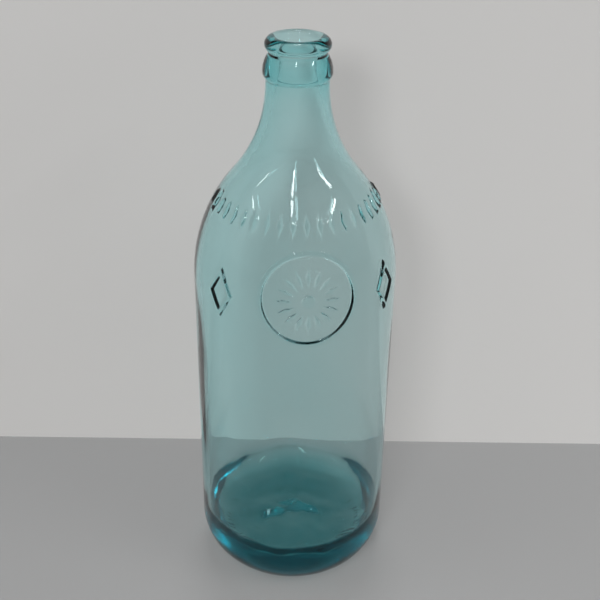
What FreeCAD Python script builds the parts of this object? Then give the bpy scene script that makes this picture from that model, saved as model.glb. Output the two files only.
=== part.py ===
import FreeCAD, Part
import os
import Sketcher

# A mould-blown glass bottle, one solid piece of glass, in millimetres.
# It stands on z = 0 with its axis on Z, and its medallion faces -Y.

NODE = "glass_bottle"

# Driving sizes: name, value, what it is
SIZES = [
    ("body_diameter", 88.0, "straight wall, outside"),
    ("body_height", 150.5, "ground to the top of the straight wall"),
    ("heel_radius", 21.8, "rounding between wall and base"),
    ("bearing_inset", 15.0, "wall to the outer edge of the ring it stands on"),
    ("bearing_width", 14.0, "flat width of that ring"),
    ("push_up", 2.0, "height of the hollow under the base"),
    ("shoulder_radius", 71.0, "convex shoulder"),
    ("neck_curve_radius", 59.2, "concave sweep from shoulder to neck"),
    ("neck_diameter", 25.7, "top of the neck, under the bead"),
    ("neck_rise", 1.5, "straight top of the neck, under the bead"),
    ("bead_lower", 2.7, "lower edge of the bead to its widest line"),
    ("bead_upper", 7.0, "widest line of the bead to the groove"),
    ("bead_stand", 2.25, "bead beyond the groove"),
    ("bead_tuck", 1.0, "bead drawn in again at its lower edge"),
    ("groove_width", 1.0, "straight floor of the groove under the lip"),
    ("groove_depth", 1.45, "groove below the lip"),
    ("lip_diameter", 26.6, "lip ring"),
    ("lip_round", 3.15, "rounding of the lip ring"),
    ("mouth_round", 2.0, "rounding into the mouth"),
    ("bore_diameter", 15.9, "bore through the finish"),
    ("throat_length", 4.0, "taper from neck to bore"),
    ("wall", 2.5, "wall of the body"),
    ("neck_wall", 3.6, "wall at the top of the neck"),
    ("floor_height", 19.0, "ground to the inner floor"),
    ("inner_heel_radius", 8.4, "rounding between wall and floor, inside"),
    ("relief", 0.8, "height of the raised ornament"),
    ("medallion_lift", 7.8, "medallion centre above the straight wall"),
    ("medallion_turn", 7.25, "degrees, medallion from -Y towards +X"),
    ("medallion_radius", 20.2, "outer edge of the ring"),
    ("medallion_line", 1.8, "width of the ring"),
    ("petal_count", 16, "petals in the medallion"),
    ("petal_inner", 5.0, "petal's inner tip from the medallion's centre"),
    ("petal_length", 10.0, "petal from tip to tip"),
    ("petal_width", 2.4, "petal at its middle"),
    ("hub_radius", 3.0, "round boss at the medallion's centre"),
    ("side_turn", 51.5, "degrees, side lozenges from the medallion"),
    ("side_lift", 5.5, "side lozenges' centre above the straight wall"),
    ("side_tall", 24.0, "side lozenge, outside height"),
    ("side_wide", 14.0, "side lozenge, outside width"),
    ("side_frame", 0.55, "inner lozenge as a share of the outer one"),
    ("band_angle", 31.0, "degrees round the shoulder to the band of lozenges"),
    ("band_span", 180.0, "degrees, first lozenge of the band to the last"),
    ("band_count", 21, "lozenges in the band"),
    ("band_tall", 9.0, "band lozenge height"),
    ("band_wide", 3.0, "band lozenge width"),
    ("trim_reach", 14.0, "how far the ornament is trimmed outside its height"),
]

# Places worked out from the driving sizes: name, formula
PLACES = [
    ("body_r", "body_diameter / 2"),
    ("bearing_r", "body_r - bearing_inset"),
    ("bearing_inner_r", "bearing_r - bearing_width"),
    ("dome_z", "push_up / 2 - bearing_inner_r ^ 2 / (2 * push_up)"),
    ("heel_centre_r", "body_r - heel_radius"),
    ("heel_z", "sqrt(heel_radius ^ 2 - (bearing_r - heel_centre_r) ^ 2)"),
    ("neck_r", "neck_diameter / 2"),
    ("shoulder_centre_r", "body_r - shoulder_radius"),
    ("sweep_centre_r", "neck_r + neck_curve_radius"),
    ("curves", "shoulder_radius + neck_curve_radius"),
    ("run", "sweep_centre_r - shoulder_centre_r"),
    ("rise", "sqrt(curves ^ 2 - run ^ 2)"),
    ("neck_z", "body_height + rise"),
    ("meet_r", "shoulder_centre_r + shoulder_radius * run / curves"),
    ("meet_z", "body_height + shoulder_radius * rise / curves"),
    ("lip_r", "lip_diameter / 2"),
    ("groove_r", "lip_r - groove_depth"),
    ("bead_r", "groove_r + bead_stand"),
    ("ledge_r", "bead_r - bead_tuck"),
    ("ledge_z", "neck_z + neck_rise"),
    ("bead_z", "ledge_z + bead_lower"),
    ("bead_low_centre_r", "(bead_r + ledge_r) / 2 - bead_lower ^ 2 / (2 * bead_tuck)"),
    ("bead_top_centre_r", "(bead_r + groove_r) / 2 - bead_upper ^ 2 / (2 * bead_stand)"),
    ("groove_low_z", "bead_z + bead_upper"),
    ("groove_top_z", "groove_low_z + groove_width"),
    ("crest_r", "lip_r - lip_round"),
    ("lip_z", "groove_top_z + sqrt(lip_round ^ 2 - (groove_r - crest_r) ^ 2)"),
    ("top_z", "lip_z + lip_round"),
    ("cavity_r", "body_r - wall"),
    ("floor_r", "cavity_r - inner_heel_radius"),
    ("inner_heel_z", "floor_height + inner_heel_radius"),
    ("inner_neck_r", "neck_r - neck_wall"),
    ("inner_sweep_r", "inner_neck_r + neck_curve_radius + wall"),
    ("inner_run", "inner_sweep_r - shoulder_centre_r"),
    ("inner_rise", "sqrt(curves ^ 2 - inner_run ^ 2)"),
    ("inner_neck_z", "body_height + inner_rise"),
    ("inner_meet_r", "shoulder_centre_r + (shoulder_radius - wall) * inner_run / curves"),
    ("inner_meet_z", "body_height + (shoulder_radius - wall) * inner_rise / curves"),
    ("bore_r", "bore_diameter / 2"),
    ("throat_z", "inner_neck_z + throat_length"),
    ("mouth_r", "bore_r + mouth_round"),
    ("mouth_z", "top_z - mouth_round"),
    ("relief_r", "body_r + relief"),
    ("relief_meet_r", "shoulder_centre_r + (shoulder_radius + relief) * run / curves"),
    ("relief_meet_z", "body_height + (shoulder_radius + relief) * rise / curves"),
    ("relief_neck_r", "neck_r + relief"),
    ("trim_r", "relief_r + trim_reach"),
    ("medallion_z", "body_height + medallion_lift"),
    ("ring_inner_radius", "medallion_radius - medallion_line"),
    ("petal_middle", "petal_inner + petal_length / 2"),
    ("petal_outer", "petal_inner + petal_length"),
    ("petal_half", "petal_width / 2"),
    ("side_z", "body_height + side_lift"),
    ("side_half_tall", "side_tall / 2"),
    ("side_half_wide", "side_wide / 2"),
    ("side_inner_tall", "side_half_tall * side_frame"),
    ("side_inner_wide", "side_half_wide * side_frame"),
    ("side_left", "medallion_turn - side_turn"),
    ("side_right", "medallion_turn + side_turn"),
    ("band_z", "body_height + shoulder_radius * sin(band_angle)"),
    ("band_r", "shoulder_centre_r + shoulder_radius * cos(band_angle)"),
    ("band_start", "medallion_turn - band_span / 2"),
    ("band_half_tall", "band_tall / 2"),
    ("band_half_wide", "band_wide / 2"),
    ("pad_start", "band_r - 2 * wall"),
    ("pad_length", "relief_r + trim_reach / 4 - pad_start"),
]

AXIS = "0"
GROUND = "0"

doc = FreeCAD.newDocument("Bottle")
sheet = doc.addObject("Spreadsheet::Sheet", "Sizes")


def fill_sheet():
    """Write the driving sizes as plain numbers and the places as formulas."""
    row = 1
    for name, value, note in SIZES:
        sheet.set(f"A{row}", name)
        sheet.set(f"B{row}", str(value))
        sheet.set(f"C{row}", note)
        sheet.setAlias(f"B{row}", name)
        row += 1
    for name, formula in PLACES:
        sheet.set(f"A{row}", name)
        sheet.setAlias(f"B{row}", name)
        sheet.set(f"B{row}", "=" + formula)
        row += 1
    doc.recompute()


def number(name):
    """Value of a named cell, of minus a named cell, or nought."""
    if name == "0":
        return 0.0
    if name.startswith("-"):
        return -float(sheet.get(name[1:]))
    return float(sheet.get(name))


def binding(name):
    """Expression for a named cell, for minus a named cell, or nought."""
    if name == "0":
        return "0"
    if name.startswith("-"):
        return "-Sizes." + name[1:]
    return "Sizes." + name


def point(corner):
    """Sketch point at a pair of named cells."""
    return FreeCAD.Vector(number(corner[0]), number(corner[1]), 0)


def bound_constraint(sketch, name, kind, *where):
    """Add a dimension that follows a named cell."""
    index = sketch.addConstraint(Sketcher.Constraint(kind, *where, number(name)))
    sketch.setExpression(f"Constraints[{index}]", binding(name))


def arc_through(start, centre, end):
    """Arc of under a half circle from start to end about centre."""
    first = point(start) - point(centre)
    last = point(end) - point(centre)
    middle = (first + last).normalize() * first.Length
    return Part.Arc(point(start), point(centre) + middle, point(end))


def draw_outline(sketch, path):
    """Close an outline through named corners: a corner with a centre starts an arc about it."""
    ends = []
    for index, (start, centre) in enumerate(path):
        end = path[(index + 1) % len(path)][0]
        if centre is None:
            edge = sketch.addGeometry(Part.LineSegment(point(start), point(end)), False)
            ends.append((edge, 1, 2))
        else:
            edge = sketch.addGeometry(arc_through(start, centre, end), False)
            forward = sketch.getPoint(edge, 1).distanceToPoint(point(start)) < 1e-6
            ends.append((edge, 1, 2) if forward else (edge, 2, 1))
    for index, (edge, first, last) in enumerate(ends):
        start, centre = path[index]
        before, before_first, before_last = ends[index - 1]
        sketch.addConstraint(Sketcher.Constraint("Coincident", before, before_last, edge, first))
        bound_constraint(sketch, start[0], "DistanceX", -1, 1, edge, first)
        bound_constraint(sketch, start[1], "DistanceY", -1, 1, edge, first)
        if centre is not None:
            bound_constraint(sketch, centre[1], "DistanceY", -1, 1, edge, 3)


def draw_circle(sketch, radius):
    """Circle about the sketch's origin."""
    circle = Part.Circle(FreeCAD.Vector(), FreeCAD.Vector(0, 0, 1), number(radius))
    edge = sketch.addGeometry(circle, False)
    sketch.addConstraint(Sketcher.Constraint("Coincident", edge, 3, -1, 1))
    bound_constraint(sketch, radius, "Radius", edge)


def draw_lozenge(sketch, half_wide, half_tall):
    """Lozenge about the sketch's origin."""
    corners = [(half_wide, "0"), ("0", half_tall), ("-" + half_wide, "0"), ("0", "-" + half_tall)]
    draw_outline(sketch, [(corner, None) for corner in corners])


def origin_feature(body, role):
    """Plane or axis of a body's own origin."""
    return [item for item in body.Origin.OriginFeatures if item.Role == role][0]


def upright_sketch(body, name):
    """Sketch on the upright plane through the axis that looks at -Y."""
    sketch = body.newObject("Sketcher::SketchObject", name)
    sketch.AttachmentSupport = [(origin_feature(body, "XZ_Plane"), "")]
    sketch.MapMode = "FlatFace"
    return sketch


def ornament_sketch(body, name, turn, height):
    """Upright sketch inside the wall, turned about Z and lifted by named cells."""
    sketch = upright_sketch(body, name)
    upright = FreeCAD.Rotation(FreeCAD.Vector(0, 1, 0), number(turn))
    sketch.AttachmentOffset = FreeCAD.Placement(FreeCAD.Vector(), upright)
    sketch.setExpression("AttachmentOffset.Rotation.Angle", binding(turn))
    sketch.setExpression("AttachmentOffset.Base.x", f"Sizes.pad_start * sin({binding(turn)})")
    sketch.setExpression("AttachmentOffset.Base.y", binding(height))
    sketch.setExpression("AttachmentOffset.Base.z", f"Sizes.pad_start * cos({binding(turn)})")
    return sketch


def turned(body, kind, name, path):
    """Revolution or groove of an outline about the bottle's axis."""
    sketch = upright_sketch(body, name + "_outline")
    draw_outline(sketch, path)
    feature = body.newObject(kind, name)
    feature.Profile = sketch
    feature.ReferenceAxis = (sketch, ["V_Axis"])
    feature.Angle = 360
    doc.recompute()
    return feature


def raised(body, name, sketch):
    """Push a drawn ornament out through the wall; the trim then gives it its height."""
    feature = body.newObject("PartDesign::Pad", name)
    feature.Profile = sketch
    feature.Refine = False
    feature.setExpression("Length", binding("pad_length"))
    doc.recompute()
    return feature


def ring_of(body, name, original, axis, count):
    """Full circle of copies of a raised ornament."""
    pattern = body.newObject("PartDesign::PolarPattern", name)
    pattern.Originals = [original]
    pattern.Refine = False
    pattern.Axis = axis
    pattern.Angle = 360
    pattern.Occurrences = int(number(count))
    pattern.setExpression("Occurrences", binding(count))
    body.Tip = pattern
    doc.recompute()
    return pattern


def glass_form(body):
    """Outside of the bottle as one solid of revolution."""
    shoulder_centre = ("shoulder_centre_r", "body_height")
    turned(body, "PartDesign::Revolution", "glass_form", [
        ((AXIS, "push_up"), (AXIS, "dome_z")),
        (("bearing_inner_r", GROUND), None),
        (("bearing_r", GROUND), ("heel_centre_r", "heel_z")),
        (("body_r", "heel_z"), None),
        (("body_r", "body_height"), shoulder_centre),
        (("meet_r", "meet_z"), ("sweep_centre_r", "neck_z")),
        (("neck_r", "neck_z"), None),
        (("neck_r", "ledge_z"), None),
        (("ledge_r", "ledge_z"), ("bead_low_centre_r", "bead_z")),
        (("bead_r", "bead_z"), ("bead_top_centre_r", "bead_z")),
        (("groove_r", "groove_low_z"), None),
        (("groove_r", "groove_top_z"), ("crest_r", "lip_z")),
        (("lip_r", "lip_z"), ("crest_r", "lip_z")),
        (("crest_r", "top_z"), None),
        ((AXIS, "top_z"), None),
    ])


def medallion(body):
    """Raised ring on the front with a plain rosette in it."""
    place = ("medallion_turn", "medallion_z")
    ring = ornament_sketch(body, "medallion_outline", *place)
    draw_circle(ring, "medallion_radius")
    draw_circle(ring, "ring_inner_radius")
    raised(body, "medallion_ring", ring)
    hub = ornament_sketch(body, "hub_outline", *place)
    draw_circle(hub, "hub_radius")
    raised(body, "medallion_hub", hub)
    petal = ornament_sketch(body, "petal_outline", *place)
    tips = [("0", "petal_inner"), ("petal_half", "petal_middle")]
    tips += [("0", "petal_outer"), ("-petal_half", "petal_middle")]
    draw_outline(petal, [(tip, None) for tip in tips])
    first_petal = raised(body, "medallion_petal", petal)
    ring_of(body, "rosette", first_petal, (petal, ["N_Axis"]), "petal_count")


def side_lozenge(body, name, turn):
    """Raised lozenge frame beside the medallion."""
    sketch = ornament_sketch(body, name + "_outline", turn, "side_z")
    draw_lozenge(sketch, "side_half_wide", "side_half_tall")
    draw_lozenge(sketch, "side_inner_wide", "side_inner_tall")
    raised(body, name, sketch)


def shoulder_band(body):
    """Band of small raised lozenges round the front of the shoulder."""
    sketch = ornament_sketch(body, "band_outline", "band_start", "band_z")
    draw_lozenge(sketch, "band_half_wide", "band_half_tall")
    first = raised(body, "band_lozenge", sketch)
    axis = (origin_feature(body, "Z_Axis"), [""])
    band = ring_of(body, "shoulder_band", first, axis, "band_count")
    band.setExpression("Angle", binding("band_span"))
    doc.recompute()


def trim_ornament(body):
    """Turn the raised ornament down to one height above the glass."""
    turned(body, "PartDesign::Groove", "ornament_trim", [
        (("relief_r", "heel_z"), None),
        (("relief_r", "body_height"), ("shoulder_centre_r", "body_height")),
        (("relief_meet_r", "relief_meet_z"), ("sweep_centre_r", "neck_z")),
        (("relief_neck_r", "neck_z"), None),
        (("trim_r", "neck_z"), None),
        (("trim_r", "heel_z"), None),
    ])


def cavity(body):
    """Hollow out the bottle, from the floor to the mouth."""
    turned(body, "PartDesign::Groove", "cavity", [
        ((AXIS, "floor_height"), None),
        (("floor_r", "floor_height"), ("floor_r", "inner_heel_z")),
        (("cavity_r", "inner_heel_z"), None),
        (("cavity_r", "body_height"), ("shoulder_centre_r", "body_height")),
        (("inner_meet_r", "inner_meet_z"), ("inner_sweep_r", "inner_neck_z")),
        (("inner_neck_r", "inner_neck_z"), None),
        (("bore_r", "throat_z"), None),
        (("bore_r", "mouth_z"), ("mouth_r", "mouth_z")),
        (("mouth_r", "top_z"), None),
        ((AXIS, "top_z"), None),
    ])


def glass_bottle():
    """The whole bottle as one body."""
    body = doc.addObject("PartDesign::Body", NODE)
    body.Label = NODE
    volumes = []
    for build in (glass_form, medallion, shoulder_band):
        build(body)
        volumes.append(body.Shape.Volume)
    for name, turn in (("left_lozenge", "side_left"), ("right_lozenge", "side_right")):
        side_lozenge(body, name, turn)
        volumes.append(body.Shape.Volume)
    for build in (trim_ornament, cavity):
        build(body)
        volumes.append(body.Shape.Volume)
    grown = all(after > before for before, after in zip(volumes[:4], volumes[1:5]))
    cut = volumes[4] > volumes[5] > volumes[6] and volumes[5] > volumes[0]
    if not (grown and cut):
        raise RuntimeError(f"a feature did nothing: {volumes}")
    return body


def check(parts):
    """Stop before anything is written if an object failed."""
    for item in doc.Objects:
        if "Invalid" in item.State or "Error" in item.State:
            raise RuntimeError(f"{item.Name} failed: {item.State}")
    for item in parts:
        if item.Shape.isNull() or not item.Shape.isValid() or len(item.Shape.Solids) != 1:
            raise RuntimeError(f"{item.Label} is not one valid solid")


fill_sheet()
parts = [glass_bottle()]
doc.recompute()
check(parts)
os.makedirs("parts", exist_ok=True)
for item in parts:
    item.Shape.exportStep(f"parts/{item.Label}.step")
    box = item.Shape.optimalBoundingBox()
    print(f"{item.Label}: {item.Shape.Volume / 1000:.1f} ml of glass, "
          f"{box.XLength:.2f} x {box.YLength:.2f} x {box.ZLength:.2f} mm")
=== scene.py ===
import math

import bpy
import numpy as np
from bpy.props import FloatProperty, FloatVectorProperty, IntProperty, PointerProperty
from mathutils import Matrix, Vector


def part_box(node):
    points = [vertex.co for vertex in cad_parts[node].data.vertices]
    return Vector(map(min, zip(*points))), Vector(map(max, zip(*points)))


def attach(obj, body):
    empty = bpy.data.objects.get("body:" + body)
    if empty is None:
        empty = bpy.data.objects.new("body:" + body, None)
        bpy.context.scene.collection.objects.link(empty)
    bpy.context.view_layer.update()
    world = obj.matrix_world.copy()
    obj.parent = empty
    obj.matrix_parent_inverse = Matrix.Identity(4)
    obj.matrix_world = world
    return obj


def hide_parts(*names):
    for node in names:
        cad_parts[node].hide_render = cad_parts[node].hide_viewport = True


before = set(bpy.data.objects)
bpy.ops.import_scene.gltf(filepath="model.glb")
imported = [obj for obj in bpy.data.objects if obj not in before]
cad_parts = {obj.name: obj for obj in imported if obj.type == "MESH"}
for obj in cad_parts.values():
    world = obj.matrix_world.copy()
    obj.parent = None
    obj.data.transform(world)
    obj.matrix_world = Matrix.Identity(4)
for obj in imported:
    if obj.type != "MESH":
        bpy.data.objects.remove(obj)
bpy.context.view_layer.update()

bl_info = {
    "name": "Aqua glass bottle",
    "version": (1, 0, 0),
    "blender": (4, 5, 0),
    "location": "3D View > Sidebar > Bottle",
    "description": "Builds a mould-blown aqua glass bottle over its CAD frame, with a plain stage",
    "category": "Object",
}

NODE = "glass_bottle"
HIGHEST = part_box(NODE)[1]
MM = 0.001


def length(name, description, millimetres):
    """Length property whose default is given in millimetres."""
    return FloatProperty(name=name, description=description, default=millimetres * MM,
                         min=0.0, unit="LENGTH", precision=5)


def angle(name, description, degrees):
    """Angle property whose default is given in degrees."""
    return FloatProperty(name=name, description=description, default=math.radians(degrees),
                         unit="ROTATION")


def share(name, description, value):
    """Plain number from nought to one."""
    return FloatProperty(name=name, description=description, default=value, min=0.0, max=1.0,
                         subtype="FACTOR")


def colour(name, description, value):
    """Colour property without alpha."""
    return FloatVectorProperty(name=name, description=description, default=value, size=3,
                               min=0.0, max=1.0, subtype="COLOR")


class BottleForm(bpy.types.PropertyGroup):
    """Sizes of the blown glass, inside and out."""

    body_radius: length("Body radius", "Straight wall, outside", HIGHEST.x / MM)
    body_height: length("Body height", "Ground to the top of the straight wall", 150.5)
    heel_radius: length("Heel radius", "Rounding between wall and base", 21.8)
    bearing_inset: length("Bearing inset", "Wall to the outer edge of the ring it stands on", 15.0)
    bearing_width: length("Bearing width", "Flat width of that ring", 14.0)
    push_up: length("Push-up", "Height of the hollow under the base", 2.0)
    shoulder_radius: length("Shoulder radius", "Convex shoulder", 71.0)
    sweep_radius: length("Sweep radius", "Concave sweep from shoulder to neck", 59.2)
    neck_radius: length("Neck radius", "Top of the neck, under the bead", 12.85)
    neck_rise: length("Neck rise", "Straight top of the neck, under the bead", 1.5)
    bead_lower: length("Bead, lower part", "Lower edge of the bead to its widest line", 2.7)
    bead_upper: length("Bead, upper part", "Widest line of the bead to the groove", 7.0)
    bead_stand: length("Bead stand", "Bead beyond the groove", 2.25)
    bead_tuck: length("Bead tuck", "Bead drawn in again at its lower edge", 1.0)
    groove_width: length("Groove width", "Straight floor of the groove under the lip", 1.0)
    groove_depth: length("Groove depth", "Groove below the lip", 1.45)
    lip_radius: length("Lip radius", "Lip ring", 13.3)
    lip_round: length("Lip round", "Rounding of the lip ring", 3.15)
    mouth_round: length("Mouth round", "Rounding into the mouth", 2.0)
    bore_radius: length("Bore radius", "Bore through the finish", 7.95)
    throat_round: length("Throat round", "Rounding from the bore into the throat", 40.0)
    wall: length("Wall", "Wall of the body", 2.5)
    neck_wall: length("Neck wall", "Wall at the top of the neck", 3.6)
    floor_height: length("Floor height", "Ground to the inner floor", 19.0)
    inner_heel: length("Inner heel", "Rounding between wall and floor, inside", 10.8)
    drift: length("Drift", "How far the hollow sits off the axis", 0.5)
    inner_wave: length("Inner wave", "Unevenness of the inner face", 0.7)
    outer_wave: length("Outer wave", "Unevenness of the outer face", 0.06)
    floor_ripple: length("Floor ripple", "Unevenness of the inner floor", 3.4)


class BottleOrnament(bpy.types.PropertyGroup):
    """Sizes of the raised ornament and of the marks under the heel."""

    relief: length("Relief", "Height of the raised ornament", 0.8)
    medallion_lift: length("Medallion lift", "Medallion's centre above the straight wall", 7.8)
    medallion_turn: angle("Medallion turn", "Medallion from -Y towards +X", 7.25)
    medallion_radius: length("Medallion radius", "Outer edge of the ring", 20.2)
    medallion_line: length("Medallion line", "Width of the ring", 1.8)
    field_depth: length("Field depth", "Field inside the ring below the wall's face", 0.5)
    petal_count: IntProperty(name="Petals", description="Petals in the medallion", default=16, min=3)
    petal_inner: length("Petal start", "Petal's inner tip from the medallion's centre", 5.0)
    petal_length: length("Petal length", "Petal from tip to tip", 10.0)
    petal_width: length("Petal width", "Petal at its middle", 2.4)
    hub_radius: length("Hub radius", "Round boss at the medallion's centre", 3.0)
    side_turn: angle("Side turn", "Side lozenges from the medallion", 51.5)
    side_lift: length("Side lift", "Side lozenges' centre above the straight wall", 5.5)
    side_tall: length("Side height", "Side lozenge, outside height", 24.0)
    side_wide: length("Side width", "Side lozenge, outside width", 14.0)
    side_frame: share("Side frame", "Inner lozenge as a share of the outer one", 0.55)
    band_angle: angle("Band angle", "Round the shoulder to the band of lozenges", 31.0)
    band_count: IntProperty(name="Band count", description="Lozenges in the band", default=21, min=3)
    band_span: angle("Band span", "From the first lozenge of the band to the last", 180.0)
    band_tall: length("Band height", "Band lozenge height", 9.0)
    band_wide: length("Band width", "Band lozenge width", 3.0)
    mark_count: IntProperty(name="Heel marks", description="Marks round the base", default=66, min=3)
    mark_depth: length("Mark depth", "Depth of the marks round the base", 0.35)
    mark_inner: length("Marks, inner edge", "Inner edge of the ring of marks", 30.5)
    mark_outer: length("Marks, outer edge", "Outer edge of the ring of marks", 35.5)


class BottleLook(bpy.types.PropertyGroup):
    """Colours of the glass and of the stage."""

    tint: colour("Tint", "Colour that the glass lets through", (0.053, 0.77, 0.8))
    tint_density: FloatProperty(name="Tint density", description="Strength of the tint per metre",
                                default=95.0, min=0.0)
    floor: colour("Floor", "Plain floor", (0.21, 0.21, 0.21))
    backdrop: colour("Backdrop", "Plain backdrop", (0.34, 0.336, 0.332))
    # Both glows get painted light falloff in plain_material, darker upwards and to the left
    floor_glow: colour("Floor glow", "Even tone that the floor shows as well", (0.125, 0.125, 0.125))
    backdrop_glow: colour("Backdrop glow", "Even tone that the backdrop shows as well",
                          (0.295, 0.291, 0.285))
    room: colour("Room", "Soft light from all round, near the horizon", (0.45, 0.45, 0.45))
    ceiling: colour("Ceiling", "Soft light from overhead", (0.08, 0.08, 0.08))


def arc(start, end, centre, steps):
    """Points from start up to, but not with, end on an arc about centre."""
    first = math.atan2(start[1] - centre[1], start[0] - centre[0])
    last = math.atan2(end[1] - centre[1], end[0] - centre[0])
    sweep = (last - first + math.pi) % (2 * math.pi) - math.pi
    radius = math.hypot(start[0] - centre[0], start[1] - centre[1])
    turns = [first + sweep * step / steps for step in range(steps)]
    return [(centre[0] + radius * math.cos(t), centre[1] + radius * math.sin(t)) for t in turns]


def line(start, end, steps):
    """Points from start up to, but not with, end on a straight line."""
    shares = [step / steps for step in range(steps)]
    return [(start[0] + (end[0] - start[0]) * s, start[1] + (end[1] - start[1]) * s) for s in shares]


# How far the close rings reach past the medallion's lower line, in widths of the line,
# and past the middle of the band, in heights of the band
LINE_BELOW = 0.3
LINE_ABOVE = 1.3
BAND_ABOVE = 0.65


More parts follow.
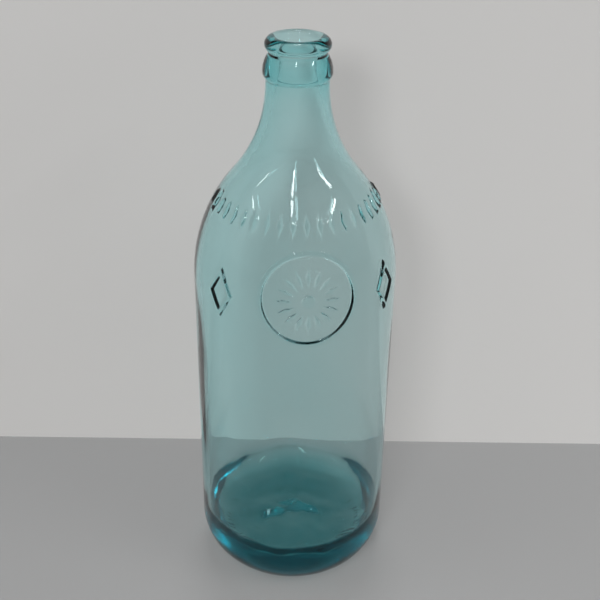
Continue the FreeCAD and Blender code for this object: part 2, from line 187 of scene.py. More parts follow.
class Outline:
    """Half section of the glass, from under the base, over the lip, to the middle of the floor."""

    def __init__(self, form):
        self.rings = []
        self.form = form

    def add(self, points, fine=False, outer=True):
        """Append a stretch of rings, with how many columns they have and which face they are on."""
        self.rings += [(radius, height, fine, outer) for radius, height in points]

    def outside(self, ornament):
        """Base, heel, wall, shoulder, neck, bead and lip."""
        f = self.form
        bearing = f.body_radius - f.bearing_inset
        bearing_inner = bearing - f.bearing_width
        dome = f.push_up / 2 - bearing_inner ** 2 / (2 * f.push_up)
        heel_r = f.body_radius - f.heel_radius
        heel_z = math.sqrt(f.heel_radius ** 2 - (bearing - heel_r) ** 2)
        heel = (heel_r, heel_z)
        self.add(arc((0.0, f.push_up), (bearing_inner, 0.0), (0.0, dome), 12))
        self.add(line((bearing_inner, 0.0), (bearing, 0.0), 5))
        tread_turn = math.acos((ornament.mark_outer - heel_r) / f.heel_radius)
        tread = (ornament.mark_outer, heel_z - f.heel_radius * math.sin(tread_turn))
        self.add(arc((bearing, 0.0), tread, heel, 7), fine=True)
        self.add(arc(tread, (f.body_radius, heel_z), heel, 18))
        shoulder_r = f.body_radius - f.shoulder_radius
        shoulder = (shoulder_r, f.body_height)
        ring_z = f.body_height + ornament.medallion_lift - ornament.medallion_radius
        low_z = ring_z - ornament.medallion_line * LINE_BELOW
        high_z = ring_z + ornament.medallion_line * LINE_ABOVE
        high_turn = math.asin((ornament.medallion_lift + ornament.medallion_radius) / f.shoulder_radius)
        band_turn = ornament.band_angle + BAND_ABOVE * ornament.band_tall / f.shoulder_radius
        self.add(line((f.body_radius, heel_z), (f.body_radius, low_z), 12))
        top_of_wall = (f.body_radius, f.body_height)
        self.add(line((f.body_radius, low_z), (f.body_radius, high_z), 16), fine=True)
        self.add(line((f.body_radius, high_z), top_of_wall, 30), fine=True)

        def on_shoulder(turn):
            return (shoulder_r + f.shoulder_radius * math.cos(turn),
                    f.body_height + f.shoulder_radius * math.sin(turn))

        self.add(arc(top_of_wall, on_shoulder(high_turn), shoulder, 80), fine=True)
        self.add(arc(on_shoulder(high_turn), on_shoulder(band_turn), shoulder, 30), fine=True)
        sweep_r = f.neck_radius + f.sweep_radius
        curves = f.shoulder_radius + f.sweep_radius
        run = (sweep_r - shoulder_r) / curves
        rise = math.sqrt(1.0 - run ** 2)
        neck_z = f.body_height + curves * rise
        sweep = (sweep_r, neck_z)
        self.shoulder = shoulder
        meet = (shoulder_r + f.shoulder_radius * run, f.body_height + f.shoulder_radius * rise)
        self.add(arc(on_shoulder(band_turn), meet, shoulder, 6))
        neck = (f.neck_radius, neck_z)
        self.add(arc(meet, neck, sweep, 20))
        groove_r = f.lip_radius - f.groove_depth
        bead_r = groove_r + f.bead_stand
        ledge_r = bead_r - f.bead_tuck
        self.ledge_z = neck_z + f.neck_rise
        bead_z = self.ledge_z + f.bead_lower
        low_centre = ((bead_r + ledge_r) / 2 - f.bead_lower ** 2 / (2 * f.bead_tuck), bead_z)
        top_centre = ((bead_r + groove_r) / 2 - f.bead_upper ** 2 / (2 * f.bead_stand), bead_z)
        groove_low = (groove_r, bead_z + f.bead_upper)
        groove_top = (groove_r, groove_low[1] + f.groove_width)
        crest_r = f.lip_radius - f.lip_round
        lip_z = groove_top[1] + math.sqrt(f.lip_round ** 2 - (groove_r - crest_r) ** 2)
        self.top_z = lip_z + f.lip_round
        neck_top = (f.neck_radius, self.ledge_z)
        ledge = (ledge_r, self.ledge_z)
        self.add(line(neck, neck_top, 2))
        self.add(line(neck_top, ledge, 2))
        self.add(arc(ledge, (bead_r, bead_z), low_centre, 8))
        self.add(arc((bead_r, bead_z), groove_low, top_centre, 10))
        self.add(line(groove_low, groove_top, 3))
        self.add(arc(groove_top, (f.lip_radius, lip_z), (crest_r, lip_z), 8))
        self.add(arc((f.lip_radius, lip_z), (crest_r, self.top_z), (crest_r, lip_z), 12))

    def inside(self):
        """Mouth, bore, throat, neck, shoulder, wall and floor."""
        f = self.form
        mouth_r = f.bore_radius + f.mouth_round
        mouth_z = self.top_z - f.mouth_round
        crest = (f.lip_radius - f.lip_round, self.top_z)
        bore = (f.bore_radius, mouth_z)
        inner_shoulder = f.shoulder_radius - f.wall
        inner_sweep = f.sweep_radius + f.wall
        sweep_r = f.neck_radius - f.neck_wall + inner_sweep
        run = (sweep_r - self.shoulder[0]) / (inner_shoulder + inner_sweep)
        rise = math.sqrt(1.0 - run ** 2)
        sweep = (sweep_r, f.body_height + (inner_shoulder + inner_sweep) * rise)
        meet = (self.shoulder[0] + inner_shoulder * run, f.body_height + inner_shoulder * rise)
        aside, down = sweep[0] - f.bore_radius, sweep[1] - self.ledge_z
        leaning = math.atan2(down, aside) - math.asin(inner_sweep / math.hypot(aside, down))
        throat = math.sqrt(aside ** 2 + down ** 2 - inner_sweep ** 2)
        ahead = (math.cos(leaning), math.sin(leaning))
        neck = (f.bore_radius + throat * ahead[0], self.ledge_z + throat * ahead[1])
        eased = f.throat_round * math.tan((leaning + math.pi / 2) / 2)
        throat_top = (f.bore_radius, self.ledge_z + eased)
        throat_low = (f.bore_radius + eased * ahead[0], self.ledge_z + eased * ahead[1])
        throat_centre = (f.bore_radius + f.throat_round, throat_top[1])
        wall_r = f.body_radius - f.wall
        heel_z = f.floor_height + f.inner_heel
        floor_r = wall_r - f.inner_heel
        self.add(line(crest, (mouth_r, self.top_z), 2))
        self.add(arc((mouth_r, self.top_z), bore, (mouth_r, mouth_z), 8), outer=False)
        self.add(line(bore, throat_top, 5), outer=False)
        self.add(arc(throat_top, throat_low, throat_centre, 8), outer=False)
        self.add(line(throat_low, neck, 4), outer=False)
        self.add(arc(neck, meet, sweep, 20), outer=False)
        self.add(arc(meet, (wall_r, f.body_height), self.shoulder, 14), outer=False)
        self.add(line((wall_r, f.body_height), (wall_r, heel_z), 12), outer=False)
        self.add(arc((wall_r, heel_z), (floor_r, f.floor_height), (floor_r, heel_z), 16), outer=False)
        self.add(line((floor_r, f.floor_height), (0.0, f.floor_height), 24), outer=False)
        self.add([(0.0, f.floor_height)], outer=False)


COLUMNS = 408
COARSER = 3
TURN_SAMPLES = 7201
SMOOTH_SAMPLES = 121
# Radius of the shoulder beside the medallion, as a share of the body's
NARROWED = 0.9
# How much closer the columns stand at the medallion, its ring and the side lozenges,
# and how much wider apart behind
MEDALLION_CLOSER = 3.2
RING_CLOSER = 2.4
SIDE_CLOSER = 1.2
BACK_WIDER = 0.4
RING_REACH = math.radians(3.0)
SIDE_REACH = math.radians(10.0)
BACK_START = math.radians(100.0)


def column_turns(ornament):
    """Angles of the columns round the axis, closer together where the front ornament is."""
    turns = np.linspace(-math.pi, math.pi, TURN_SAMPLES)
    away = np.abs((turns - ornament.medallion_turn + math.pi) % (2 * math.pi) - math.pi)
    reach = ornament.medallion_radius / (HIGHEST.x * NARROWED)
    side = np.abs(away - ornament.side_turn)
    ring_radius = ornament.medallion_radius - ornament.medallion_line / 2
    edge = np.abs(away - math.asin(ring_radius / HIGHEST.x))
    close = 1.0 + MEDALLION_CLOSER * (away < reach) + RING_CLOSER * (edge < RING_REACH)
    close = close + SIDE_CLOSER * (side < SIDE_REACH) - BACK_WIDER * (away > BACK_START)
    smooth = np.ones(SMOOTH_SAMPLES) / SMOOTH_SAMPLES
    close = np.convolve(np.pad(close, SMOOTH_SAMPLES // 2, mode="wrap"), smooth, mode="valid")
    summed = np.concatenate([[0.0], np.cumsum((close[1:] + close[:-1]) / 2)])
    wanted = np.arange(COLUMNS) / COLUMNS * summed[-1]
    return np.interp(wanted, summed, turns)


def lathe(outline, turns):
    """Closed mesh of the rings: pole, rings of columns, pole."""
    points, faces, outer, rings = [], [], [], []
    for radius, height, fine, is_outer in outline.rings:
        if radius == 0.0:
            ring = [len(points)]
            points.append((0.0, 0.0, height))
        else:
            around = turns if fine else turns[::COARSER]
            ring = list(range(len(points), len(points) + len(around)))
            points += [(radius * math.sin(t), -radius * math.cos(t), height) for t in around]
        outer += [1.0 if is_outer else 0.0] * len(ring)
        rings.append(ring)
    for low, high in zip(rings, rings[1:]):
        faces += between(low, high)
    mesh = bpy.data.meshes.new("bottle_glass")
    mesh.from_pydata(points, [], faces)
    attribute = mesh.attributes.new("outer_face", "FLOAT", "POINT")
    attribute.data.foreach_set("value", outer)
    mesh.polygons.foreach_set("use_smooth", [True] * len(faces))
    return mesh


def between(low, high):
    """Faces between two neighbouring rings, which may be a pole or have fewer columns."""
    count = min(len(low), len(high))
    if count == 1:
        many = low if len(high) == 1 else high
        size = len(many)
        pairs = [(many[i], many[(i + 1) % size]) for i in range(size)]
        if len(low) == 1:
            return [(low[0], right, left) for left, right in pairs]
        return [(left, right, high[0]) for left, right in pairs]
    faces = []
    low_step, high_step = len(low) // count, len(high) // count
    for i in range(count):
        under = [low[(i * low_step + k) % len(low)] for k in range(low_step + 1)]
        over = [high[(i * high_step + k) % len(high)] for k in range(high_step + 1)]
        faces.append(tuple(under + over[::-1]))
    return faces


class Fields:
    """Adds nodes to a tree: node gives the new node, and the others give its result."""

    def __init__(self, tree):
        self.tree = tree

    def node(self, kind, values, **settings):
        """New node with its settings, and values or links on its inputs by name or number."""
        node = self.tree.nodes.new(kind)
        for name, value in settings.items():
            setattr(node, name, value)
        for key, value in values.items():
            if isinstance(value, bpy.types.NodeSocket):
                self.tree.links.new(value, node.inputs[key])
            else:
                node.inputs[key].default_value = value
        return node

    def math(self, operation, *values):
        """One sum."""
        return self.node("ShaderNodeMath", dict(enumerate(values)), operation=operation).outputs[0]

    def along(self, vector, way):
        """How far a vector reaches in one direction."""
        values = {0: vector, 1: way}
        return self.node("ShaderNodeVectorMath", values, operation="DOT_PRODUCT").outputs["Value"]

    def fade(self, value, full, none):
        """One at full, nought at none, smooth between."""
        values = {"Value": value, "From Min": none, "From Max": full}
        return self.node("ShaderNodeMapRange", values, interpolation_type="SMOOTHSTEP").outputs[0]


# Flat part of each raised or sunk form, as a share of its half width
RING_FLAT = 0.72
HUB_FLAT = 0.8
PETAL_FLAT = 0.55
FRAME_FLAT = 0.3
BAND_FLAT = 0.6
MARK_FLAT = 0.6
# Foot of the band's lozenges in such shares, and slope into the field as a share of half the ring's line
BAND_FOOT = 1.02
FIELD_SLOPE = 0.3
# Beat round the heel at which a mark has its full depth, and none
MARK_FULL = 0.6
MARK_NONE = -0.2
# Unevenness of the blown wall, drawn out along the bottle, and of the inner floor
WAVE_STRETCH = (1.0, 1.0, 0.35)
WAVE_SCALE = 34.0
RIPPLE_SCALE = 70.0
# Where the wall's unevenness starts, as a share of the height where it is full, where it is full
# for the last time, as a share of the height where it ends, and that end as a share of the bottle
WAVE_START = 0.4
WAVE_END = 0.85
WAVE_HEAD = 0.93


def ornament_tree(names):
    """Node tree that raises the ornament, sinks the heel marks and makes the faces uneven."""
    tree = bpy.data.node_groups.new("raised_ornament", "GeometryNodeTree")
    tree.interface.new_socket("Geometry", in_out="OUTPUT", socket_type="NodeSocketGeometry")
    tree.interface.new_socket("Geometry", in_out="INPUT", socket_type="NodeSocketGeometry")
    for name in names:
        tree.interface.new_socket(name, in_out="INPUT", socket_type="NodeSocketFloat")
    tree.interface.new_socket("Glass", in_out="INPUT", socket_type="NodeSocketMaterial")
    f = Fields(tree)
    given = tree.nodes.new("NodeGroupInput").outputs
    position = tree.nodes.new("GeometryNodeInputPosition").outputs[0]
    normal = tree.nodes.new("GeometryNodeInputNormal").outputs[0]
    outer = f.node("GeometryNodeInputNamedAttribute", {"Name": "outer_face"},
                   data_type="FLOAT").outputs[0]
    x, y, z = f.node("ShaderNodeSeparateXYZ", {"Vector": position}).outputs
    reach = f.math("SQRT", f.math("ADD", f.math("MULTIPLY", x, x), f.math("MULTIPLY", y, y)))
    turn = f.math("ARCTAN2", x, f.math("MULTIPLY", y, -1.0))
    from_front = f.math("WRAP", f.math("SUBTRACT", turn, given["Medallion turn"]), math.pi, -math.pi)

    def beside(offset):
        return f.math("MULTIPLY", reach, f.math("SINE", offset))

    def lozenge(across, wide, along, tall):
        part = f.math("DIVIDE", f.math("ABSOLUTE", across), f.math("MULTIPLY", wide, 0.5))
        rest = f.math("DIVIDE", f.math("ABSOLUTE", along), f.math("MULTIPLY", tall, 0.5))
        return f.math("ADD", part, rest)

    across = beside(from_front)
    up = f.math("SUBTRACT", z, given["Medallion height"])
    out = f.math("SQRT", f.math("ADD", f.math("MULTIPLY", across, across), f.math("MULTIPLY", up, up)))
    facing = f.math("GREATER_THAN", f.math("COSINE", from_front), 0.0)
    half_line = f.math("MULTIPLY", given["Medallion line"], 0.5)
    from_line = f.math("ABSOLUTE", f.math("SUBTRACT", f.math("SUBTRACT", out, given["Medallion radius"]),
                                          f.math("MULTIPLY", half_line, -1.0)))
    ring = f.fade(from_line, f.math("MULTIPLY", half_line, RING_FLAT), half_line)
    hub = f.fade(out, f.math("MULTIPLY", given["Hub radius"], HUB_FLAT), given["Hub radius"])
    half_pitch = f.math("MULTIPLY", given["Petal pitch"], 0.5)
    leaf_turn = f.math("WRAP", f.math("ARCTAN2", across, up), half_pitch,
                       f.math("MULTIPLY", half_pitch, -1.0))
    leaf_along = f.math("SUBTRACT", f.math("MULTIPLY", out, f.math("COSINE", leaf_turn)),
                        given["Petal middle"])
    leaf_across = f.math("MULTIPLY", out, f.math("SINE", leaf_turn))
    leaf = lozenge(leaf_across, given["Petal width"], leaf_along, given["Petal length"])
    petals = f.fade(leaf, PETAL_FLAT, 1.0)
    rosette = f.math("MULTIPLY", facing, f.math("MAXIMUM", ring, f.math("MAXIMUM", hub, petals)))
    side_off = f.math("SUBTRACT", f.math("ABSOLUTE", from_front), given["Side turn"])
    side = lozenge(beside(side_off), given["Side wide"], f.math("SUBTRACT", z, given["Side height"]),
                   given["Side tall"])
    side_mid = f.math("MULTIPLY", f.math("ADD", given["Side frame"], 1.0), 0.5)
    side_half = f.math("SUBTRACT", 1.0, side_mid)
    frames = f.fade(f.math("ABSOLUTE", f.math("SUBTRACT", side, side_mid)),
                    f.math("MULTIPLY", side_half, FRAME_FLAT), side_half)
    band_half = f.math("MULTIPLY", given["Band pitch"], 0.5)
    band_off = f.math("WRAP", from_front, band_half, f.math("MULTIPLY", band_half, -1.0))
    band = f.fade(lozenge(beside(band_off), given["Band wide"],
                          f.math("SUBTRACT", z, given["Band height"]), given["Band tall"]),
                  BAND_FLAT, BAND_FOOT)
    in_band = f.math("LESS_THAN", f.math("ABSOLUTE", from_front), given["Band reach"])
    band = f.math("MULTIPLY", band, in_band)
    raised = f.math("MAXIMUM", rosette, f.math("MAXIMUM", frames, band))
    raised = f.math("MULTIPLY", raised, given["Relief"])
    field_edge = f.math("SUBTRACT", given["Medallion radius"], given["Medallion line"])
    field_flat = f.math("SUBTRACT", field_edge, f.math("MULTIPLY", half_line, FIELD_SLOPE))
    field = f.fade(out, field_flat, field_edge)
    sunk = f.math("MULTIPLY", f.math("MULTIPLY", facing, field), given["Field depth"])
    raised = f.math("SUBTRACT", raised, sunk)
    beat = f.math("COSINE", f.math("MULTIPLY", turn, given["Mark count"]))
    mark_mid = f.math("MULTIPLY", f.math("ADD", given["Mark inner"], given["Mark outer"]), 0.5)
    mark_half = f.math("SUBTRACT", given["Mark outer"], mark_mid)
    in_marks = f.fade(f.math("ABSOLUTE", f.math("SUBTRACT", reach, mark_mid)),
                      f.math("MULTIPLY", mark_half, MARK_FLAT), mark_half)
    low = f.math("LESS_THAN", z, given["Wave foot"])
    marks = f.math("MULTIPLY", f.math("MULTIPLY", f.fade(beat, MARK_FULL, MARK_NONE), in_marks), low)
    raised = f.math("SUBTRACT", raised, f.math("MULTIPLY", marks, given["Mark depth"]))
    flow = f.node("ShaderNodeVectorMath", {0: position, 1: WAVE_STRETCH},
                  operation="MULTIPLY").outputs[0]
    wave = f.node("ShaderNodeTexNoise", {"Vector": flow, "Scale": WAVE_SCALE, "Detail": 1.0}).outputs[0]
    wave_start = f.math("MULTIPLY", given["Wave foot"], WAVE_START)
    wave_end = f.math("MULTIPLY", given["Wave head"], WAVE_END)
    in_wall = f.math("MULTIPLY", f.fade(z, given["Wave foot"], wave_start),
                     f.fade(z, wave_end, given["Wave head"]))
    outer_dent = f.math("MULTIPLY", f.math("MULTIPLY", wave, given["Outer wave"]), in_wall)
    inner_dent = f.math("MULTIPLY", f.math("SUBTRACT", wave, 0.5),
                        f.math("MULTIPLY", given["Inner wave"], 2.0))
    inner_dent = f.math("MULTIPLY", inner_dent, in_wall)
    ripple = f.node("ShaderNodeTexNoise", {"Vector": position, "Scale": RIPPLE_SCALE,
                                           "Detail": 1.0}).outputs[0]
    ripple = f.math("MULTIPLY", f.math("SUBTRACT", ripple, 0.5),
                    f.math("MULTIPLY", given["Floor ripple"], 2.0))
    on_floor = f.fade(z, given["Floor height"], given["Wave foot"])
    inner_dent = f.math("ADD", inner_dent, f.math("MULTIPLY", ripple, on_floor))
    on_outer = f.math("MULTIPLY", f.math("SUBTRACT", raised, outer_dent), outer)
    on_inner = f.math("MULTIPLY", inner_dent, f.math("SUBTRACT", 1.0, outer))
    height = f.math("ADD", on_outer, on_inner)
    offset = f.node("ShaderNodeVectorMath", {0: normal, "Scale": height}, operation="SCALE").outputs[0]
    slide = f.math("MULTIPLY", f.math("MULTIPLY", given["Drift"], in_wall),
                   f.math("SUBTRACT", 1.0, outer))
    shift = f.node("ShaderNodeCombineXYZ", {"X": slide}).outputs[0]
    move = f.node("ShaderNodeVectorMath", {0: offset, 1: shift}, operation="ADD").outputs[0]
    moved = f.node("GeometryNodeSetPosition", {"Geometry": given["Geometry"], "Offset": move}).outputs[0]
    real = f.node("GeometryNodeRealizeInstances", {"Geometry": moved}).outputs[0]
    glazed = f.node("GeometryNodeSetMaterial", {"Geometry": real, "Material": given["Glass"]}).outputs[0]
    result = tree.nodes.new("NodeGroupOutput")
    tree.links.new(glazed, result.inputs[0])
    return tree


def ornament_values(form, ornament):
    """Inputs of the ornament tree by name, worked out from the sizes."""
    o = ornament
    pitch = o.band_span / (o.band_count - 1)
    return {
        "Relief": o.relief,
        "Medallion turn": o.medallion_turn,
        "Medallion height": form.body_height + o.medallion_lift,
        "Medallion radius": o.medallion_radius,
        "Medallion line": o.medallion_line,
        "Field depth": o.field_depth,
        "Petal pitch": 2 * math.pi / o.petal_count,
        "Petal middle": o.petal_inner + o.petal_length / 2,
        "Petal length": o.petal_length,
        "Petal width": o.petal_width,
        "Hub radius": o.hub_radius,
        "Side turn": o.side_turn,
        "Side height": form.body_height + o.side_lift,
        "Side tall": o.side_tall,
        "Side wide": o.side_wide,
        "Side frame": o.side_frame,
        "Band pitch": pitch,
        "Band reach": (o.band_span + pitch) / 2,
        "Band height": form.body_height + form.shoulder_radius * math.sin(o.band_angle),
        "Band tall": o.band_tall,
        "Band wide": o.band_wide,
        "Mark count": float(o.mark_count),
        "Mark depth": o.mark_depth,
        "Mark inner": o.mark_inner,
        "Mark outer": o.mark_outer,
        "Drift": form.drift,
        "Inner wave": form.inner_wave,
        "Outer wave": form.outer_wave,
        "Wave foot": form.floor_height + form.inner_heel,
        "Wave head": HIGHEST.z * WAVE_HEAD,
        "Floor ripple": form.floor_ripple,
        "Floor height": form.floor_height,
    }


def aqua_glass(look):
    """Clear aqua glass, glossy, with faint haze and flow lines."""
    material = bpy.data.materials.new("aqua_glass")
    material.use_nodes = True
    tree = material.node_tree
    tree.nodes.clear()
    f = Fields(tree)
    place = tree.nodes.new("ShaderNodeTexCoord").outputs["Object"]
    haze = f.node("ShaderNodeTexNoise", {"Vector": place, "Scale": 26.0, "Detail": 4.0}).outputs[0]
    rough = f.node("ShaderNodeMapRange", {"Value": haze, "From Min": 0.45, "From Max": 0.8,
                                          "To Min": 0.0, "To Max": 0.05}).outputs[0]
    height = f.node("ShaderNodeSeparateXYZ", {"Vector": place}).outputs["Z"]
    worn = f.math("MULTIPLY", f.fade(height, 0.002, 0.0032), 0.2)
    rough = f.math("MAXIMUM", rough, worn)
    stretched = f.node("ShaderNodeMapping", {"Vector": place, "Scale": (1.0, 1.0, 0.2)}).outputs[0]
    flow = f.node("ShaderNodeTexNoise", {"Vector": stretched, "Scale": 60.0, "Detail": 2.0}).outputs[0]
    bump = f.node("ShaderNodeBump", {"Height": flow, "Strength": 0.05, "Distance": 0.002}).outputs[0]
    glass = f.node("ShaderNodeBsdfPrincipled", {
        "Base Color": (1.0, 1.0, 1.0, 1.0), "Roughness": rough, "IOR": 1.52,
        "Transmission Weight": 1.0, "Specular Tint": (0.45, 0.5, 0.5, 1.0), "Normal": bump})
    volume = f.node("ShaderNodeVolumeAbsorption", {
        "Color": (*look.tint, 1.0), "Density": look.tint_density})
    output = tree.nodes.new("ShaderNodeOutputMaterial")
    tree.links.new(glass.outputs[0], output.inputs["Surface"])
    tree.links.new(volume.outputs[0], output.inputs["Volume"])
    return material


class BlowBottle(bpy.types.Operator):
    """Build the bottle as one piece of glass in place of its CAD node"""

    bl_idname = "bottle.blow_glass"
    bl_label = "Blow the bottle"

    def execute(self, context):
        form = context.scene.bottle_form
        ornament = context.scene.bottle_ornament
        outline = Outline(form)
        outline.outside(ornament)
        outline.inside()
        bottle = bpy.data.objects.new("bottle_glass", lathe(outline, column_turns(ornament)))
        context.scene.collection.objects.link(bottle)
        values = ornament_values(form, ornament)
        tree = ornament_tree(values)
        modifier = bottle.modifiers.new("Raised ornament", "NODES")
        modifier.node_group = tree
        glass = aqua_glass(context.scene.bottle_look)
        for item in tree.interface.items_tree:
            if item.in_out == "INPUT" and item.name in values:
                modifier[item.identifier] = values[item.name]
            elif item.name == "Glass":
                modifier[item.identifier] = glass
        settled = bottle.evaluated_get(context.evaluated_depsgraph_get())
        finished = bpy.data.meshes.new_from_object(settled)
        bottle.modifiers.clear()
        bottle.data = finished
        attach(bottle, "root")
        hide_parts(NODE)
        return {"FINISHED"}


# Painted light falloff: the stage's glow is painted darker upwards and to the left
PAINTED_FALLOFF_WAY = (0.5, 0.0, -0.7)
UNEVEN = 0.03


def plain_material(name, tone, glow):
    """Matt stage material with a barely uneven tone, part of which shows where no light falls; that part
    is painted darker upwards and to the left as painted light falloff.
    """
    material = bpy.data.materials.new(name)
    material.use_nodes = True
    f = Fields(material.node_tree)
    shader = material.node_tree.nodes["Principled BSDF"]
    place = material.node_tree.nodes.new("ShaderNodeTexCoord").outputs["Object"]
    cloud = f.node("ShaderNodeTexNoise", {"Vector": place, "Scale": 6.0, "Detail": 3.0}).outputs[0]
    ramp = f.node("ShaderNodeMix", {"Factor": cloud}, data_type="RGBA")
    ramp.inputs[6].default_value = (*[(1.0 - UNEVEN) * c for c in tone], 1.0)
    ramp.inputs[7].default_value = (*[min(1.0, (1.0 + UNEVEN) * c) for c in tone], 1.0)
    material.node_tree.links.new(ramp.outputs[2], shader.inputs["Base Color"])
    shader.inputs["Roughness"].default_value = 0.9
    shader.inputs["Specular IOR Level"].default_value = 0.2
    paths = material.node_tree.nodes.new("ShaderNodeLightPath").outputs
    seen = f.math("MAXIMUM", paths["Is Camera Ray"], paths["Is Glossy Ray"])
    seen = f.math("MAXIMUM", seen, paths["Is Transmission Ray"])
    shader.inputs["Emission Color"].default_value = (*glow, 1.0)
    # Painted light falloff: the glow is scaled from 0.8 to 1.1 along this direction, darker upwards and
    # to the left
    slope = f.along(place, PAINTED_FALLOFF_WAY)
    painted_falloff = f.node("ShaderNodeMapRange", {"Value": slope, "From Min": -0.2, "From Max": 0.1,
                                           "To Min": 0.8, "To Max": 1.1}).outputs[0]
    material.node_tree.links.new(f.math("MULTIPLY", seen, painted_falloff), shader.inputs["Emission Strength"])
    return material


def sheet(name, corners, material):
    """One flat four-cornered sheet for the stage."""
    mesh = bpy.data.meshes.new(name)
    mesh.from_pydata(corners, [], [(0, 1, 2, 3)])
    mesh.materials.append(material)
    item = bpy.data.objects.new(name, mesh)
    bpy.context.scene.collection.objects.link(item)
    return item


# Stage sizes, in metres
FLOOR_DROP = 0.0003
FLOOR_REACH = 30
BACKDROP_REACH = 1.5
BACKDROP_BACK = 0.076
BACKDROP_TOP = 0.33
# Name, near end, far end, width and power of each tube
TUBE_HEIGHT = 1.2
TUBES = (
    ("tube_front", (-0.11, -0.72), (-0.11, -1.29), 0.08, 5.0),
    ("tube_right", (1.2, -0.3), (1.2, -1.03), 0.1, 8.3),
    ("tube_left", (-1.38, -0.15), (-1.38, -0.68), 0.04, 2.2),
)
KEY_PLACE = (-0.22, -0.75, 0.58)
KEY_AIM = (0.0, 0.0, 0.08)
KEY_SIDE = 0.18
KEY_POWER = 2.8
# Where the room's tone ends and the ceiling's is full, from nought at the horizon to one overhead
ROOM_HIGH = 0.3
CEILING_LOW = 0.6
# Direction, cosines at the inner and outer edge, and strength of each bright patch of the room
PATCHES = (
    ((-0.583, -0.272, 0.766), 0.97, 0.8, 0.6),
    ((0.583, -0.272, 0.766), 0.97, 0.8, 0.4),
    ((0.0, 0.2, 0.98), 0.9976, 0.9925, 25.0),
)
BOUNCES = 24
# Camera of the photograph, in metres, millimetres and degrees
CAMERA_PLACE = (0.0, -0.38841, 0.35364)
CAMERA_LENS = 60.0
CAMERA_SENSOR = 36.0
CAMERA_NEAR = 0.01
CAMERA_PITCH = 29.3375
CAMERA_ROLL = 0.9399
CAMERA_YAW = 0.3518


def lamp(name, place, wide, tall, power):
    """Rectangular lamp that shines down until it is turned."""
    data = bpy.data.lights.new(name, "AREA")
    data.shape = "RECTANGLE"
    data.size, data.size_y = wide, tall
    data.energy = power
    item = bpy.data.objects.new(name, data)
    item.location = place
    bpy.context.scene.collection.objects.link(item)
    return item


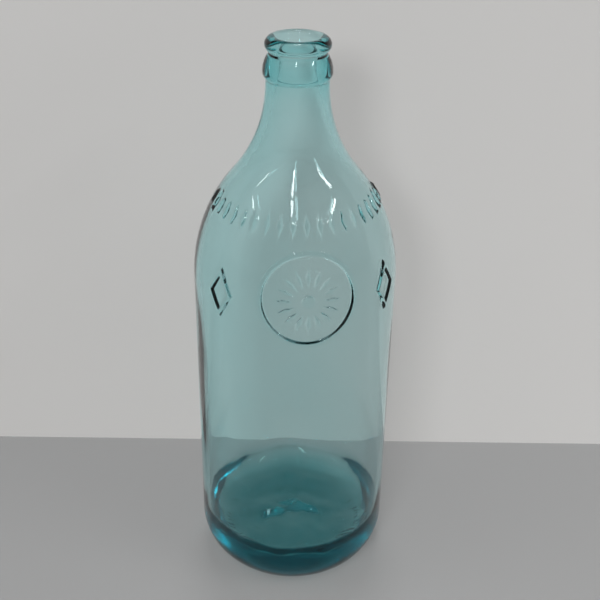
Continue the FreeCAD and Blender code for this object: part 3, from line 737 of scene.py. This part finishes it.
class SetStage(bpy.types.Operator):
    """Set up the plain floor, backdrop, soft light and camera"""

    bl_idname = "bottle.set_stage"
    bl_label = "Set the stage"

    def execute(self, context):
        scene = context.scene
        look = scene.bottle_look
        self.lay_floor(look)
        self.hang_backdrop(look)
        self.hang_tubes()
        self.hang_key()
        scene.world = self.light_room(look)
        scene.view_settings.view_transform = "Standard"
        scene.cycles.max_bounces = BOUNCES
        scene.cycles.transmission_bounces = BOUNCES
        self.place_camera(scene)
        return {"FINISHED"}

    def lay_floor(self, look):
        """Wide level floor, just under the bottle."""
        far, low = FLOOR_REACH, -FLOOR_DROP
        corners = [(-far, -far, low), (far, -far, low), (far, far, low), (-far, far, low)]
        sheet("floor", corners, plain_material("floor_grey", look.floor, look.floor_glow))

    def hang_backdrop(self, look):
        """Upright backdrop that is clear from behind and throws no shade on the floor."""
        material = plain_material("backdrop_pale", look.backdrop, look.backdrop_glow)
        nodes, links = material.node_tree.nodes, material.node_tree.links
        behind = nodes.new("ShaderNodeNewGeometry").outputs["Backfacing"]
        clear = nodes.new("ShaderNodeBsdfTransparent")
        either = nodes.new("ShaderNodeMixShader")
        links.new(behind, either.inputs[0])
        links.new(nodes["Principled BSDF"].outputs[0], either.inputs[1])
        links.new(clear.outputs[0], either.inputs[2])
        links.new(either.outputs[0], nodes["Material Output"].inputs["Surface"])
        side, back, low, top = BACKDROP_REACH, BACKDROP_BACK, -FLOOR_DROP, BACKDROP_TOP
        corners = [(-side, back, low), (side, back, low), (side, back, top), (-side, back, top)]
        backdrop = sheet("backdrop", corners, material)
        backdrop.visible_diffuse = False
        backdrop.visible_shadow = False

    def light_room(self, look):
        """World with a soft room, a dim ceiling and a few bright patches."""
        world = bpy.data.worlds.new("soft_room")
        world.use_nodes = True
        f = Fields(world.node_tree)
        back = world.node_tree.nodes["Background"]
        towards = world.node_tree.nodes.new("ShaderNodeTexCoord").outputs["Generated"]
        z = f.node("ShaderNodeSeparateXYZ", {"Vector": towards}).outputs["Z"]
        tone = f.node("ShaderNodeMix", {"Factor": f.fade(z, ROOM_HIGH, CEILING_LOW)}, data_type="RGBA")
        tone.inputs[6].default_value = (*look.ceiling, 1.0)
        tone.inputs[7].default_value = (*look.room, 1.0)
        glow = 0.0
        for way, inner, outer, strength in PATCHES:
            patch = f.fade(f.along(towards, way), inner, outer)
            glow = f.math("ADD", glow, f.math("MULTIPLY", patch, strength))
        lit = f.node("ShaderNodeMix", {"Factor": 1.0, 6: tone.outputs[2], 7: glow}, data_type="RGBA",
                     blend_type="ADD")
        world.node_tree.links.new(lit.outputs[2], back.inputs["Color"])
        return world

    def hang_tubes(self):
        """Long thin lamps overhead, each from a near end to a far end."""
        for name, near, far, wide, power in TUBES:
            near, far = Vector((*near, TUBE_HEIGHT)), Vector((*far, TUBE_HEIGHT))
            lamp(name, (near + far) / 2, wide, (far - near).length, power).rotation_euler = (
                0.0, 0.0, math.atan2(far.y - near.y, far.x - near.x) - math.pi / 2)

    def hang_key(self):
        """Soft lamp at the front left, for the shadow on the backdrop."""
        key = lamp("key", KEY_PLACE, KEY_SIDE, KEY_SIDE, KEY_POWER)
        ahead = Vector(KEY_AIM) - Vector(KEY_PLACE)
        key.rotation_euler = ahead.to_track_quat("-Z", "Y").to_euler()
        key.visible_glossy = False
        key.visible_transmission = False

    def place_camera(self, scene):
        """Camera at the photograph's place and angle."""
        data = bpy.data.cameras.new("camera")
        data.lens = CAMERA_LENS
        data.sensor_width = CAMERA_SENSOR
        data.clip_start = CAMERA_NEAR
        pitch, roll, yaw = (math.radians(a) for a in (CAMERA_PITCH, CAMERA_ROLL, CAMERA_YAW))
        ahead = Vector((math.sin(yaw), math.cos(yaw), 0.0))
        level = Vector((math.cos(yaw), -math.sin(yaw), 0.0))
        upward = Vector((0.0, 0.0, 1.0))
        forward = math.cos(pitch) * ahead - math.sin(pitch) * upward
        over = math.sin(pitch) * ahead + math.cos(pitch) * upward
        right = math.cos(roll) * level + math.sin(roll) * over
        top = math.cos(roll) * over - math.sin(roll) * level
        turned = Matrix((right, top, -forward)).transposed().to_4x4()
        camera = bpy.data.objects.new("camera", data)
        camera.matrix_world = Matrix.Translation(CAMERA_PLACE) @ turned
        scene.collection.objects.link(camera)
        scene.camera = camera


class BottlePanel(bpy.types.Panel):
    """Sidebar list of the bottle's steps and sizes"""

    bl_idname = "VIEW3D_PT_bottle"
    bl_label = "Bottle"
    bl_space_type = "VIEW_3D"
    bl_region_type = "UI"
    bl_category = "Bottle"

    def draw(self, context):
        layout = self.layout
        for step in STEPS:
            layout.operator(step.bl_idname)
        scene = context.scene
        for group in (scene.bottle_form, scene.bottle_ornament, scene.bottle_look):
            box = layout.box()
            for name in group.__annotations__:
                box.prop(group, name)


STEPS = (BlowBottle, SetStage)
CLASSES = (BottleForm, BottleOrnament, BottleLook, BlowBottle, SetStage, BottlePanel)


def register():
    for item in CLASSES:
        bpy.utils.register_class(item)
    bpy.types.Scene.bottle_form = PointerProperty(type=BottleForm)
    bpy.types.Scene.bottle_ornament = PointerProperty(type=BottleOrnament)
    bpy.types.Scene.bottle_look = PointerProperty(type=BottleLook)


def unregister():
    del bpy.types.Scene.bottle_look
    del bpy.types.Scene.bottle_ornament
    del bpy.types.Scene.bottle_form
    for item in reversed(CLASSES):
        bpy.utils.unregister_class(item)


def main():
    register()
    bpy.ops.bottle.blow_glass()
    bpy.ops.bottle.set_stage()


if __name__ == "__main__":
    main()
